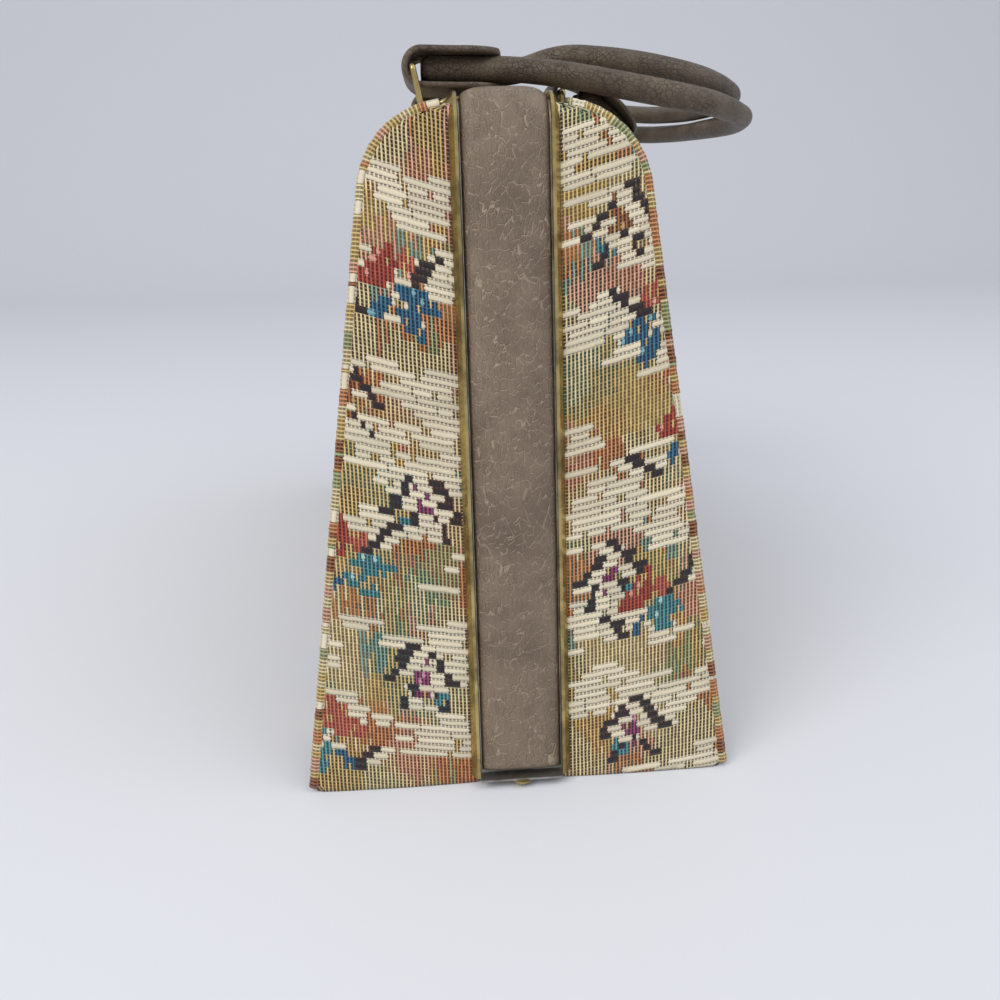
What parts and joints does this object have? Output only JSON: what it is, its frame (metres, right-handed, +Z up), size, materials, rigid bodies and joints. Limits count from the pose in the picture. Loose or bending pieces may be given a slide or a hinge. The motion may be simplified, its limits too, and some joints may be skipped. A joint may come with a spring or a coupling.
{
  "type": "handbag",
  "caption": "Boxy tapestry handbag that opens like a clam on a bottom hinge, with a leather-covered metal frame between its halves and two rolled leather handles.",
  "frame": {"origin": "on the surface that the bag stands on, under the middle of its frame", "axes": "+X along the bag's length, -Y towards the front half that swings open, +Y towards the back half, +Z up"},
  "size_m": [0.344, 0.1814, 0.2443],
  "materials": {
    "tapestry": "thick cream weft cords with woven motifs in rust, teal, blue, purple, olive and black-brown",
    "leather": "worn taupe-brown leather with a fine pebbled grain and creases",
    "lining": "plain matt lining cloth",
    "brass": "aged brass with bright lips and dull olive patina",
    "steel": "dull plated steel"
  },
  "bodies": {
    "back_half": {"back_panel": "tapestry", "back_gusset_right": "tapestry", "back_gusset_left": "tapestry", "back_bottom": "tapestry", "back_piping_right": "tapestry", "back_piping_left": "tapestry", "back_lining": "lining", "back_handle_plates": "steel", "frame_channel": "steel", "back_rail": "brass", "leather_band": "leather", "base_tie": "leather", "back_hinge_leaf": "steel", "hinge_pin": "steel", "frame_feet": "brass", "back_clasp_post": "brass", "back_bail_right": "brass", "back_bail_left": "brass"},
    "front_half": {"front_panel": "tapestry", "front_gusset_right": "tapestry", "front_gusset_left": "tapestry", "front_bottom": "tapestry", "front_piping_right": "tapestry", "front_piping_left": "tapestry", "front_lining": "lining", "front_handle_plates": "steel", "front_rail": "brass", "front_hinge_leaf": "steel", "front_clasp_post": "brass", "front_bail_right": "brass", "front_bail_left": "brass"},
    "front_handle": {"front_tab_right": "leather", "front_tab_left": "leather", "front_strand_outer": "leather", "front_strand_inner": "leather"},
    "back_handle": {"back_tab_right": "leather", "back_tab_left": "leather", "back_strand_outer": "leather", "back_strand_inner": "leather"}
  },
  "joints": [
    {"name": "front_half_open", "type": "hinge", "parent": "back_half", "child": "front_half", "pos_m": [0, -0.0149, 0.0026], "axis": [1, 0, 0], "range_deg": [0, 35]},
    {"name": "front_handle_swing", "type": "hinge", "parent": "front_half", "child": "front_handle", "pos_m": [0, -0.028, 0.2362], "axis": [1, 0, 0], "range_deg": [0, 98]},
    {"name": "back_handle_swing", "type": "hinge", "parent": "back_half", "child": "back_handle", "pos_m": [0, 0.0225, 0.2289], "axis": [1, 0, 0], "range_deg": [0, 127.5]}
  ],
  "couplings": [
    {"joint": "back_handle_swing", "follows": "front_handle_swing", "ratio": 1.3}
  ]
}
